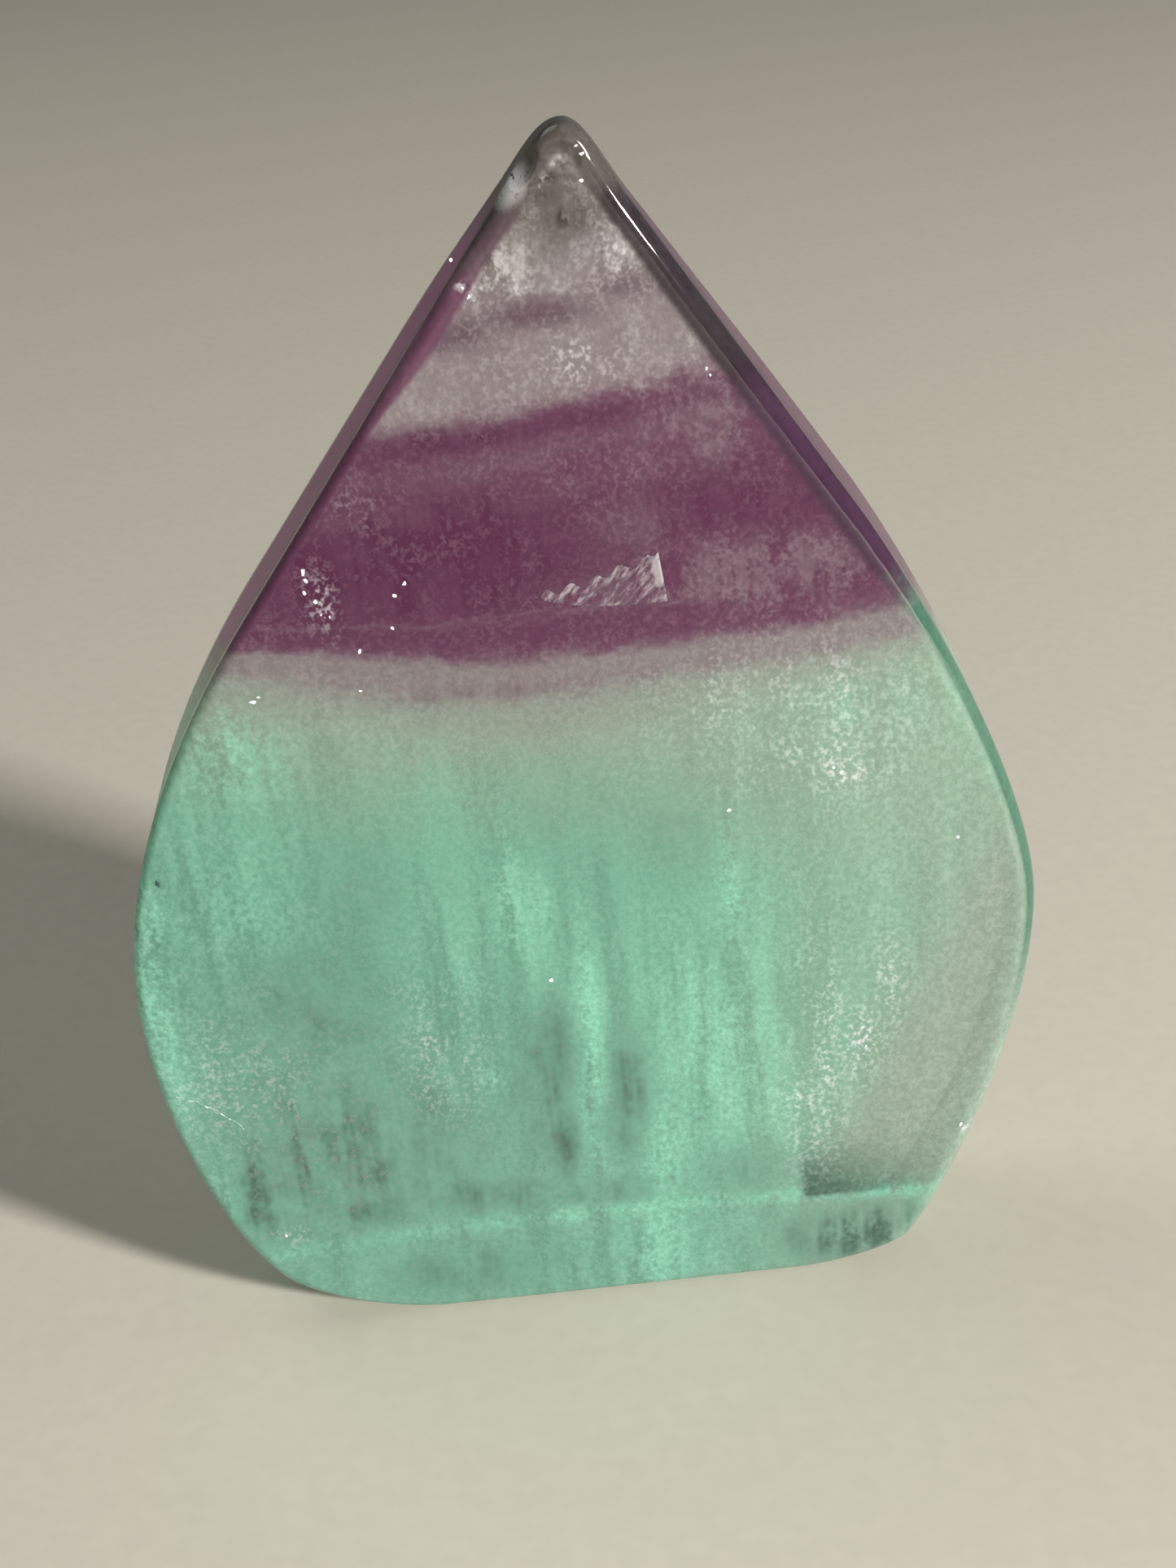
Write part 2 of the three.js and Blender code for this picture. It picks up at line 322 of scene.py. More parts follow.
def stone_grid(sizes):
    """The skin of the slab as rows of points round it, from the middle of the front face over the
    front edge, the rim and the back edge to the middle of the back face.

    Beside the places it gives two numbers from 0 to 1 for each point: how near it is to a rounded
    edge, within a strip that is wider on the right and towards the tip, which marks where the edge gets
    its painted shade, and whether it is on the rim.
    A face row is the outline, drawn in by the rounding and scaled towards the middle of the face,
    and sunk by the crown times the cube of the scale and by the waves of the polish. An edge row at
    the angle a is drawn in by R(1 - sin a) and sunk by R(1 - cos a). Rows of the rim lie evenly
    between the two edges.
    """
    outline = np.vstack([bend_points(*stretch) for stretch in OUTLINE])
    along = np.roll(outline, -1, 0) - np.roll(outline, 1, 0)
    along /= np.hypot(*along.T)[:, None]
    outward = np.c_[along[:, 1], -along[:, 0]]
    x, z = outline[:, 0], outline[:, 1]
    left, right = sizes.front_edge_left / MM, sizes.front_edge_right / MM
    front_radius = left + (right - left) * smooth_step(-12, 16, x)
    back_radius = np.full_like(x, sizes.back_edge / MM)
    crown, wave = sizes.face_crown / MM, sizes.polish_waves / MM

    def rows(scales, angles, radius):
        """Places and depths below the face of rows at the given scales and edge angles."""
        scales, angles = scales[:, None], angles[:, None]
        drawn_in = (radius * (1 - np.sin(angles)))[..., None]
        inner = outline - outward * drawn_in
        place = FACE_MIDDLE + (inner - FACE_MIDDLE) * scales[..., None]
        return place, crown * scales**3 + radius * (1 - np.cos(angles))

    edge_scales = np.ones(EDGE_ROWS)
    front_scales = np.r_[1 - (1 - np.linspace(0.01, 1, FRONT_ROWS)) ** 1.6, edge_scales]
    back_scales = np.r_[1 - (1 - np.linspace(0.02, 1, BACK_ROWS)) ** 1.5, edge_scales]
    turns = np.linspace(0, math.pi / 2, EDGE_ROWS + 1)[1:]
    front_place, front_sunk = rows(front_scales, np.r_[np.zeros(FRONT_ROWS), turns], front_radius)
    back_place, back_sunk = rows(back_scales, np.r_[np.zeros(BACK_ROWS), turns], back_radius)
    back_place, back_sunk = back_place[::-1], back_sunk[::-1]
    front_fade = smooth_step(0, 0.05, 1 - front_scales)[:, None]
    back_fade = smooth_step(0, 0.05, 1 - back_scales)[::-1, None]
    front_x, front_z = front_place[..., 0], front_place[..., 1]
    back_x, back_z = back_place[..., 0], back_place[..., 1]
    front_y = front_sunk + wave * front_fade * polish_wave(front_x, front_z, 11)
    back_y = back_depth(sizes, back_x, back_z) - back_sunk
    back_y -= wave * back_fade * polish_wave(back_x, back_z, 12)
    share = np.linspace(0, 1, RIM_ROWS + 2)[1:-1, None]
    rim_y = front_y[-1] * (1 - share) + back_y[0] * share
    rim_x, rim_z = np.broadcast_to(x, rim_y.shape), np.broadcast_to(z, rim_y.shape)
    front = np.stack([front_x, front_y, front_z], -1)
    rim = np.stack([rim_x, rim_y, rim_z], -1)
    back = np.stack([back_x, back_y, back_z], -1)
    # Width of the strip of painted shade along the rounded front edge, wider on the right and towards the
    # tip
    rightness = smooth_step(-10, 12, x)
    strip = 0.65 + 1.1 * rightness + 0.7 * (1 - rightness) * smooth_step(66, 72, z)
    strip *= 0.45 + 0.55 * smooth_step(49, 57, z)
    front_gap = np.hypot(front_x - x, front_z - z)
    back_gap = np.hypot(back_x - x, back_z - z)
    near = np.concatenate([1 - smooth_step(0.75 * strip, 1.15 * strip, front_gap),
                           np.broadcast_to(smooth_step(0.75, 1.0, 1 - share), rim_y.shape),
                           1 - smooth_step(0.5, 0.9, back_gap)])
    side = np.concatenate([np.zeros_like(front_x), np.ones_like(rim_x), np.zeros_like(back_x)])
    return np.concatenate([front, rim, back]), near, side


def break_chips(points):
    """Breaks the chips out of the skin and returns how bruised each point is, from 0 to 1.

    What lies inside a chip's ball is pushed out to the ball, which ripples finely with the distance
    from its middle, and the bruise fades out from 0.45 to 1 times the half width of the hollow,
    sqrt(2 radius bite).
    """
    bruise = np.zeros(points.shape[:-1])
    for x, z, radius, bite, blow in CHIPS:
        side = np.array((x, z)) - FACE_MIDDLE
        side /= np.hypot(*side)
        if blow == "edge":
            away = np.array((side[0], -1.0, side[1])) / math.sqrt(2)
        else:
            away = np.array((0.0, -1.0, 0.0))
        middle = np.array((x, 0.25, z)) + away * (radius - bite)
        reach = points - middle
        distance = np.linalg.norm(reach, axis=-1)
        inside = distance < radius
        ripple = 1 + 0.012 * np.sin(distance / radius * 40)
        moved = middle + reach / np.maximum(distance, 1e-6)[..., None] * (radius * ripple)[..., None]
        points[inside] = moved[inside]
        reached = math.sqrt(2 * radius * bite)
        from_chip = np.linalg.norm(points - np.array((x, 0.3, z)), axis=-1)
        bruise = np.maximum(bruise, 1 - smooth_step(0.45 * reached, reached, from_chip))
    return bruise


def dent_tip(points):
    """The shallow oval dish on the front of the tip: a bowl with a crisp rim, a quarter of a
    millimetre deep, whose depth falls off with the square of the distance from its middle."""
    reach = np.hypot((points[..., 0] - 3.05) / 1.45, (points[..., 2] - 80.85) / 0.95)
    facing = points[..., 1] < 1.2
    bowl = np.clip(1 - reach**2, 0, 1) * (1 - 0.12 * np.cos(reach * 14))
    points[..., 1] += np.where(facing, 0.25 * bowl, 0)


def soft_ovals(ovals, x, z):
    """The strongest of some ovals at each point: each falls off as a bell, exp(-reach^2), where the
    reach is 1 on the oval's outline."""
    total = np.zeros_like(x)
    for middle_x, middle_z, half_width, half_height, strength in ovals:
        reach = ((x - middle_x) / half_width) ** 2 + ((z - middle_z) / half_height) ** 2
        total = np.maximum(total, strength * np.exp(-reach))
    return total


def growth_level(x, z):
    """Growth level in millimetres: the height, sagging like a smile by 0.0055 x^2, tilted by a share
    of x that changes with the height, drooping on the right below the purple, and undulating slowly.

    The height is the dipping one, because the zones dip towards the back.
    """
    slope = 0.09 - 0.19 * smooth_step(46, 62, z)
    droop = 0.36 * (1 - smooth_step(28, 46, z)) - 0.13 * smooth_step(43, 46, z) * smooth_step(51.5, 47, z)
    slow = polish_wave(0.9 * x, 1.7 * z, 21) - 0.5
    return z - 0.0055 * x**2 + slope * x + droop * np.maximum(x, 0) + 2.2 * slow


def corner_window_shade(x, z):
    """Painted shadow in the window in the lower right corner, the shaded back edge seen through the clear
    stone: 1 just inside its straight left wall and above its floor, fading to the right and upwards as a
    bell."""
    wall, floor = CORNER_SHADE_WINDOW
    across, up = (x - wall) / 7.0, (z - floor) / 3.4
    inside = smooth_step(wall - 0.2, wall + 0.3, x) * smooth_step(floor - 0.25, floor + 0.25, z)
    return 1.2 * inside * np.exp(-(across**2) - up**2)


def foot_line_light(x, z):
    """Painted light: the lit back edge of the foot as it shows through the stone, as a thin light line
    that sags to both sides as a parabola, and fades upwards and downwards as a bell."""
    path = 7.5 - 0.002 * (x - 1) ** 2
    reach = smooth_step(-25.5, -23.5, x) * smooth_step(23.0, 20.5, x)
    return 0.7 * reach * np.exp(-(((z - path) / 0.65) ** 2))


def bare_side(x, z):
    """Where the right side has no milk: right of a line that leans to the right, up to 40 mm high."""
    line = 14.0 + 0.48 * (z - 11.0)
    return smooth_step(-1.0, 4.0, x - line) * smooth_step(44.0, 32.0, z) * smooth_step(6.5, 8.5, z)


def make_stone(sizes):
    """The closed skin of the slab, set into the box of the CAD solid, with the numbers painted on it."""
    grid, edge_shade_strip, side = stone_grid(sizes)
    bruise = break_chips(grid)
    dent_tip(grid)
    rows, columns = grid.shape[:2]
    middles = np.stack([grid[0].mean(0), grid[-1].mean(0)])
    middles[:, 1] = grid[0, :, 1].min(), grid[-1, :, 1].max()
    points = np.vstack([grid.reshape(-1, 3), middles])
    points[:, 1] += LOW.y / MM
    low = np.array(LOW) / MM + SKIN_GAP
    high = np.array(HIGH) / MM - SKIN_GAP
    points = np.clip(points, low, high)
    points[points[:, 2] <= low[2], 2] = LOW.z / MM
    i = np.arange(columns)
    step = (i + 1) % columns
    last = (rows - 1) * columns
    front_fan = np.c_[np.full(columns, rows * columns), i, step]
    back_fan = np.c_[np.full(columns, rows * columns + 1), last + step, last + i]
    stone = push_mesh("fluorite_stone", points, tube_faces(rows, columns), np.r_[front_fan, back_fan])
    # The edge number marks the strip of painted shade along the rounded edges.
    for name, values in (("bruise", bruise), ("edge", edge_shade_strip), ("side", side)):
        paint_attribute(stone, name, np.r_[values.ravel(), 0, 0])
    x = points[:, 0]
    z = points[:, 2] + DIP * (points[:, 1] - LOW.y / MM)
    for name, values in (
            # window: where the milk thins, darkened in the green zone with painted shade seen through it
            ("window", soft_ovals(WINDOWS, x, z)),
            # smooth: the grey bands, and the painted shadow of the corner window
            ("smooth", np.maximum(corner_window_shade(x, z), soft_ovals(GREY_BANDS, x, z))),
            # light: the milkier places, and the painted light line of the foot's back edge
            ("light", np.maximum(soft_ovals(LIGHT_PLACES, x, z), foot_line_light(x, z))),
            ("frosted", soft_ovals(FROSTED_PLACES, x, z)),
            ("bare", bare_side(x, z)),
            ("level", growth_level(x, z)),
            ("right", smooth_step(4, 22, x))):
        paint_attribute(stone, name, values)
    return stone


def sheet_faces(rows, columns):
    """Quads of a closed leaf: its front, its back and the strip that joins them round the border."""
    at = np.arange(rows * columns).reshape(rows, columns)
    front = np.stack([at[:-1, :-1], at[:-1, 1:], at[1:, 1:], at[1:, :-1]], -1).reshape(-1, 4)
    back = front[:, ::-1] + rows * columns
    border = np.r_[at[0, :], at[1:, -1], at[-1, -2::-1], at[-2:0:-1, 0]]
    after = np.roll(border, -1)
    strip = np.c_[after, border, border + rows * columns, after + rows * columns]
    return np.vstack([front, back, strip])


def leaf_points(middle_sheet, thickness):
    """Front and back of a leaf: its middle sheet moved half the thickness along its own normal."""
    across = np.gradient(middle_sheet, axis=1)
    down = np.gradient(middle_sheet, axis=0)
    normal = np.cross(across, down)
    normal /= np.maximum(np.linalg.norm(normal, axis=-1), 1e-9)[..., None]
    offset = normal * thickness / 2
    return np.vstack([(middle_sheet + offset).reshape(-1, 3), (middle_sheet - offset).reshape(-1, 3)])


def under_face(x, z, depth):
    """The place inside the stone that shows at x, z on the front face when it is looked at from a
    little above: it lies lower by 0.3 of its depth."""
    return np.stack(np.broadcast_arrays(x, LOW.y / MM + depth, z - 0.3 * depth), -1)


def skin_depth(x, z):
    """How far back the front face of the finished stone lies at x, z: the y of its nearest point."""
    mesh = bpy.data.objects["fluorite_stone"].data
    points = np.zeros(len(mesh.vertices) * 3)
    mesh.vertices.foreach_get("co", points)
    points = points.reshape(-1, 3) / MM
    points = points[points[:, 1] < LOW.y / MM + 1.5]
    far = (points[:, 0] - x.reshape(-1, 1)) ** 2 + (points[:, 2] - z.reshape(-1, 1)) ** 2
    return points[far.argmin(1), 1].reshape(x.shape)


# Shader groups and materials


def add(tree, kind, inputs=(), **settings):
    """Adds a node. Each input is a plain value or the output of another node."""
    made = tree.nodes.new(kind)
    for name, value in settings.items():
        setattr(made, name, value)
    for place, value in dict(inputs).items():
        socket = made.inputs[place]
        if isinstance(value, bpy.types.NodeSocket):
            tree.links.new(value, socket)
        else:
            socket.default_value = value
    return made


def calc(tree, operation, *values):
    """The output of a Math node."""
    return add(tree, "ShaderNodeMath", enumerate(values), operation=operation).outputs[0]


def product(tree, *parts):
    """The product of masks and plain shares."""
    total = parts[0]
    for part in parts[1:]:
        total = calc(tree, "MULTIPLY", total, part)
    return total


def opposite(tree, mask):
    """1 less a mask."""
    return calc(tree, "SUBTRACT", 1.0, mask)


def painted(tree, name):
    """The number that a mesh attribute holds."""
    return add(tree, "ShaderNodeAttribute", attribute_name=name).outputs["Fac"]


def stretch(tree, value, low, high, to_low=0.0, to_high=1.0, kind="SMOOTHSTEP"):
    """The output of a Map Range node."""
    return add(tree, "ShaderNodeMapRange",
               {0: value, 1: low, 2: high, 3: to_low, 4: to_high}, interpolation_type=kind).outputs[0]


def blend(tree, factor, first, second, mode="MIX"):
    """The output of a colour Mix node. A plain colour is given by its three parts."""
    first, second = (
        colour if isinstance(colour, bpy.types.NodeSocket) else (*colour, 1) for colour in (first, second))
    return add(tree, "ShaderNodeMix", {0: factor, 6: first, 7: second},
               data_type="RGBA", blend_type=mode).outputs[2]


def noise(tree, place, scale, detail, roughness=0.55):
    """A noise value, on a place stretched by a scale for each direction, in waves a millimetre."""
    stretched = add(tree, "ShaderNodeVectorMath", {0: place, 1: scale}, operation="MULTIPLY").outputs[0]
    return add(tree, "ShaderNodeTexNoise",
               {"Vector": stretched, "Scale": 1.0, "Detail": detail, "Roughness": roughness,
                "Lacunarity": 2.1}).outputs[0]


def new_group(name, inputs, outputs):
    """A shader node group with named sockets, and its input and output nodes."""
    group = bpy.data.node_groups.new(name, "ShaderNodeTree")
    for in_out, sockets in (("INPUT", inputs), ("OUTPUT", outputs)):
        for socket, kind in sockets:
            group.interface.new_socket(name=socket, in_out=in_out, socket_type=kind)
    return group, add(group, "NodeGroupInput").outputs, add(group, "NodeGroupOutput").inputs


def use_group(tree, name, inputs=()):
    """Places a group in a tree and returns its outputs."""
    return add(tree, "ShaderNodeGroup", inputs, node_tree=bpy.data.node_groups[name]).outputs


def build_place_group():
    """Object coordinates as a place in millimetres."""
    group, _, out = new_group("Place in millimetres", (), (("Place", "NodeSocketVector"),))
    coords = add(group, "ShaderNodeTexCoord").outputs["Object"]
    scaled = add(group, "ShaderNodeVectorMath", {0: coords, 3: 1 / MM}, operation="SCALE").outputs[0]
    group.links.new(scaled, out["Place"])


def build_milk_group():
    """Texture of the growth: upright columns, drifting clouds and fine grain, each from 0 to 1."""
    kinds = (
        ("Columns", (0.55, 0.25, 0.06), 2.0, 0.75, (0.33, 0.67)),
        ("Cloud", (0.5, 0.25, 0.4), 2.0, 0.8, (0.3, 0.7)),
        ("Grain", (2.6, 1.5, 2.3), 1.0, 0.9, (0.28, 0.72)),
    )
    group, given, out = new_group(
        "Milk", (("Place", "NodeSocketVector"),), [(kind[0], "NodeSocketFloat") for kind in kinds])
    for name, scale, detail, roughness, spread in kinds:
        value = noise(group, given["Place"], scale, detail, roughness)
        group.links.new(stretch(group, value, *spread, kind="LINEAR"), out[name])


def fill_ramp(ramp, stops):
    """Sets a colour ramp's stops, given as levels in millimetres and colours."""
    elements = ramp.color_ramp.elements
    while len(elements) > 1:
        elements.remove(elements[-1])
    elements[0].position = stops[0][0] / RAMP_TOP
    elements[0].color = (*stops[0][1], 1)
    for level, colour in stops[1:]:
        elements.new(level / RAMP_TOP).color = (*colour, 1)


def mixed(first, second, share):
    """A colour between two others."""
    return tuple(a + (b - a) * share for a, b in zip(first, second))


def new_material(name):
    """An empty material and its node tree."""
    material = bpy.data.materials.new(name)
    material.use_nodes = True
    material.node_tree.nodes.clear()
    return material, material.node_tree


def speckled_material(name, first, second, scale, detail, roughness, ior=1.5, spread=(0.3, 0.7)):
    """A plain material whose colour wavers between two tones, sharpened to a spread of the noise."""
    material, tree = new_material(name)
    place = use_group(tree, "Place in millimetres")["Place"]
    kind = "LINEAR" if spread == (0, 1) else "SMOOTHSTEP"
    shade = stretch(tree, noise(tree, place, (scale, scale, scale), detail), *spread, kind=kind)
    skin = add(tree, "ShaderNodeBsdfPrincipled", {
        "Base Color": blend(tree, shade, first, second), "Roughness": roughness, "IOR": ior})
    add(tree, "ShaderNodeOutputMaterial", {"Surface": skin.outputs[0]})
    return material


def growth_ramp(colours):
    """Levels in millimetres and the colours of the growth zones there. Each colour goes a share of
    the way from one tone to another."""
    mint, pale, lilac = colours.mint[:], colours.mint_pale[:], colours.lilac[:]
    purple, deep = colours.purple[:], colours.purple_deep[:]
    clear, smoke = colours.clear[:], colours.smoke[:]
    tones = (
        (14.0, mint, WHITE, 0.04), (26.0, mint, BLACK, 0.06), (36.0, mint, BLACK, 0.06),
        (41.5, mint, pale, 0.6), (44.5, pale, pale, 0), (46.8, pale, lilac, 0.5),
        (48.0, lilac, lilac, 0), (50.0, lilac, lilac, 0), (50.7, lilac, purple, 0.7),
        (51.3, purple, purple, 0), (52.7, purple, deep, 0.3), (53.1, purple, clear, 0.3),
        (53.5, purple, deep, 0.3), (55.0, purple, deep, 0.3), (56.2, purple, deep, 0.6),
        (56.8, purple, deep, 0.1), (57.6, purple, deep, 0.6), (58.3, purple, purple, 0),
        (59.0, purple, deep, 0.5), (60.4, purple, deep, 0.3), (61.2, purple, clear, 0.08),
        (62.3, purple, purple, 0), (62.9, purple, clear, 0.18), (63.9, purple, clear, 0.08),
        (64.5, purple, deep, 0.4), (65.4, purple, deep, 0.35), (65.9, purple, purple, 0),
        (66.5, purple, clear, 0.55), (67.4, clear, clear, 0), (73.5, clear, clear, 0),
        (76.5, clear, smoke, 0.7), (80.2, smoke, smoke, 0),
    )
    return [(level, mixed(first, second, share)) for level, first, second, share in tones]


def growth_zones(tree, colours, place, milk):
    """The colour of the stone: a ramp over the growth level, and over it one after the other thin
    green columns, milk, the paler right side, light places, windows with painted shade in the green,
    flecks and frost, the rim's painted light and shade, a painted glow on the left rim, and the painted
    shade of the rounded edges. A fine grain shades all of it."""
    mint, pale, clear = colours.mint[:], colours.mint_pale[:], colours.clear[:]
    purple, deep = colours.purple[:], colours.purple_deep[:]
    columns, cloud, grain = milk["Columns"], milk["Cloud"], milk["Grain"]
    drift = calc(tree, "SUBTRACT", noise(tree, place, (0.4, 0.3, 0.8), 2.0, 0.7), 0.5)
    level = calc(tree, "ADD", painted(tree, "level"), calc(tree, "MULTIPLY", drift, 2.2))
    ramp = add(tree, "ShaderNodeValToRGB", {0: calc(tree, "DIVIDE", level, RAMP_TOP)})
    fill_ramp(ramp, growth_ramp(colours))
    torn = 1.0
    for part, share in zip((columns, cloud, grain), TEAR_SHARES):
        torn = calc(tree, "MULTIPLY_ADD", calc(tree, "SUBTRACT", part, 0.5), share * TEAR, torn)

    green, violet = stretch(tree, level, 49, 42), stretch(tree, level, 68, 65)
    above, right_side = stretch(tree, level, 49, 52), painted(tree, "right")
    smoky, grey_top = stretch(tree, level, 77.0, 79.5), stretch(tree, level, 74.5, 76.5)
    thin = mixed(mint, THIN_GREEN_AND_SHADE, 0.8)
    milky = tuple(min(1.0, part * 1.25) for part in mint)
    dark_tone = blend(tree, violet, mixed(mixed(clear, purple, 0.65), BLACK, 0.3), deep)
    dark_tone = blend(tree, grey_top, dark_tone, mixed(colours.smoke[:], BLACK, 0.6))
    # In the green zone the dark tone is painted shade, the dark seen through the clearer stone
    dark_tone = blend(tree, green, dark_tone, thin)
    light_tone = blend(tree, violet, mixed(clear, WHITE, 0.35), mixed(purple, clear, 0.4))
    light_tone = blend(tree, green, light_tone, milky)
    edge, side = painted(tree, "edge"), painted(tree, "side")
    rightward = stretch(tree, right_side, 0.0, 0.02)
    # The rim: its purple with painted light on the left and painted shade on the right, smoky grey at the
    # tip
    rim_light_and_shade = blend(tree, smoky, blend(tree, rightward, RIM_LEFT_LIGHT, RIM_RIGHT_SHADE), RIM_TIP)
    # Painted shade of the rounded front edge: purple on the left, near black on the right, grey at the tip
    left_edge_shade = blend(tree, grey_top, EDGE_SHADE_LEFT, EDGE_SHADE_LEFT_GREY)
    right_edge = blend(tree, stretch(tree, level, 62, 67), EDGE_SHADE_RIGHT, EDGE_SHADE_RIGHT_BLACK)
    edge_shade_tone = blend(tree, smoky, blend(tree, rightward, left_edge_shade, right_edge), EDGE_SHADE_TIP)
    flecks = stretch(tree, grain, 0.4, 0.85, kind="LINEAR")
    milkiness = stretch(tree, violet, 0, 1, 0.5, 0.22)
    strewn = stretch(tree, violet, 0, 1, 0.28, 0.1)
    # Painted shade of the rounded edge low in the green zone, dark green on the right
    low_edge_shade = product(tree, edge, opposite(tree, above), stretch(tree, level, 24, 38))

    layers = (
        (product(tree, opposite(tree, columns), green, 0.38), thin),
        (product(tree, cloud, columns, milkiness), light_tone),
        (product(tree, right_side, green, 0.5), pale),
        (product(tree, painted(tree, "bare"), 0.8), mixed(pale, colours.lilac[:], 0.25)),
        # Milkier places, and the painted light line of the foot's back edge
        (product(tree, painted(tree, "light"), torn), light_tone),
        # Windows: where the milk thins, with painted shade in the green
        (product(tree, painted(tree, "window"), torn), dark_tone),
        # The grey bands, and the painted shadow seen through the corner window
        (painted(tree, "smooth"), dark_tone),
        (product(tree, flecks, cloud, strewn), mixed(clear, WHITE, 0.5)),
        (product(tree, painted(tree, "frosted"), flecks, torn, 0.6), colours.frost[:]),
        # The rim above the green zone, with its painted light and shade
        (product(tree, side, above, 0.95), rim_light_and_shade),
        # Painted light: the rim on the left of the green zone glows milky mint, as light leaves it there
        (product(tree, side, green, opposite(tree, right_side), 0.75), milky),
        # The last two layers paint shade on the rounded edges.
        (product(tree, edge, above, 0.95), edge_shade_tone),
        (product(tree, low_edge_shade, right_side, 0.9), EDGE_SHADE_GREEN),
    )
    zones = ramp.outputs[0]
    for mask, colour in layers:
        zones = blend(tree, mask, zones, colour)
    tone = stretch(tree, grain, 0, 1, 0.87, 1.12, "LINEAR")
    grey = add(tree, "ShaderNodeCombineColor", {0: tone, 1: tone, 2: tone}).outputs[0]
    return blend(tree, 1.0, zones, grey, "MULTIPLY")


def stone_material(colours):
    """Clear to milky fluorite: the growth zones, white where the skin is broken, with a polish that
    is duller on the rim and on the breaks and has slow ripples."""
    material, tree = new_material("banded fluorite")
    place = use_group(tree, "Place in millimetres")["Place"]
    milk = use_group(tree, "Milk", {"Place": place})
    frost = calc(tree, "MULTIPLY", painted(tree, "bruise"), stretch(tree, milk["Grain"], 0.0, 0.4))
    zones = blend(tree, calc(tree, "MULTIPLY", frost, 0.9), growth_zones(tree, colours, place, milk),
                  colours.frost[:])
    polish = calc(tree, "MULTIPLY_ADD", painted(tree, "side"), 0.3, 0.035)
    roughness = calc(tree, "MULTIPLY_ADD", frost, 0.45, polish)
    ripples = noise(tree, place, (0.5, 0.5, 0.5), 0.0, 0.5)
    bump = add(tree, "ShaderNodeBump", {"Strength": 0.25, "Distance": 0.0001, "Height": ripples}).outputs[0]
    skin = add(tree, "ShaderNodeBsdfPrincipled", {
        "Base Color": zones, "Roughness": roughness, "Normal": bump, "IOR": FLUORITE_IOR,
        "Transmission Weight": 0.5, "Subsurface Weight": 0.8, "Subsurface Radius": (0.7, 1.0, 0.85),
        "Subsurface Scale": 0.003})
    inside = add(tree, "ShaderNodeVolumeAbsorption", {"Color": CLEAR_TINT, "Density": CLEAR_DENSITY})
    add(tree, "ShaderNodeOutputMaterial", {"Surface": skin.outputs[0], "Volume": inside.outputs[0]})
    return material


def flaw_material(name, colour, tone, most, scale, lean=0.0):
    """A thin inner flaw: pale, with a torn and speckled see-through body whose fibres may lean, and
    fuller where it is painted dense."""
    material, tree = new_material(name)
    place = use_group(tree, "Place in millimetres")["Place"]
    turned = add(tree, "ShaderNodeMapping", {"Vector": place, "Rotation": (0, lean, 0)}).outputs[0]
    torn = calc(tree, "MULTIPLY_ADD", painted(tree, "dense"), 0.25, noise(tree, turned, scale, 3.0, 0.7))
    alpha = stretch(tree, torn, 0.4, 0.66, 0.0, most)
    body = blend(tree, stretch(tree, torn, 0.45, 0.7), mixed(colour, tone, 0.6), colour)
    skin = add(tree, "ShaderNodeBsdfPrincipled", {
        "Base Color": body, "Roughness": 0.45, "Alpha": alpha, "IOR": FLUORITE_IOR})
    add(tree, "ShaderNodeOutputMaterial", {"Surface": skin.outputs[0]})
    return material


# Pieces


def keep_piece(piece, material):
    """Gives a piece its material, body and slot."""
    piece.data.materials.append(material)
    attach(piece, BODY)
    return piece


class FLAME_OT_stone(bpy.types.Operator):
    """Builds the polished slab over its CAD solid"""

    bl_idname = "flame.stone"
    bl_label = "Stone"

    def execute(self, context):
        stone = make_stone(context.scene.flame_sizes)
        keep_piece(stone, stone_material(context.scene.flame_colours))
        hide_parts(STONE_NODE)
        return {"FINISHED"}


class FLAME_OT_feather(bpy.types.Operator):
    """Builds the whitish feather, a healed crack low in the purple zone"""

    bl_idname = "flame.feather"
    bl_label = "Feather"

    def execute(self, context):
        # A sheet on the skin, from u = 0 at its left to 1 and from v = 0 at its foot to 1: its foot
        # falls with the cube of 1 - u, and its roof rises with u to the power 0.9, notched by a sine.
        colours = context.scene.flame_colours
        rows, columns = 26, 44
        u = np.linspace(0, 1, columns)[None, :]
        v = np.linspace(0, 1, rows)[:, None]
        z = 53.4 + 0.9 * (1 - u) ** 3 + v * (0.3 + 3.1 * u**0.9 + 0.25 * np.sin(u * 31) * v)
        x = -0.5 + 7.7 * u - 0.35 * v * u
        sheet = np.stack([x, skin_depth(x, z), z], -1)
        feather = push_mesh("healed_feather", leaf_points(sheet, 0.03), sheet_faces(rows, columns))
        right_edge = smooth_step(0.9, 0.97, u) * smooth_step(0.1, 0.6, v)
        paint_attribute(feather, "dense", np.tile(right_edge.ravel(), 2))
        keep_piece(feather, flaw_material(
            "healed crack", mixed(colours.lilac[:], colours.flaw[:], 0.12), colours.purple[:], 0.7,
            (2.2, 0.8, 0.6), math.radians(-40)))
        return {"FINISHED"}


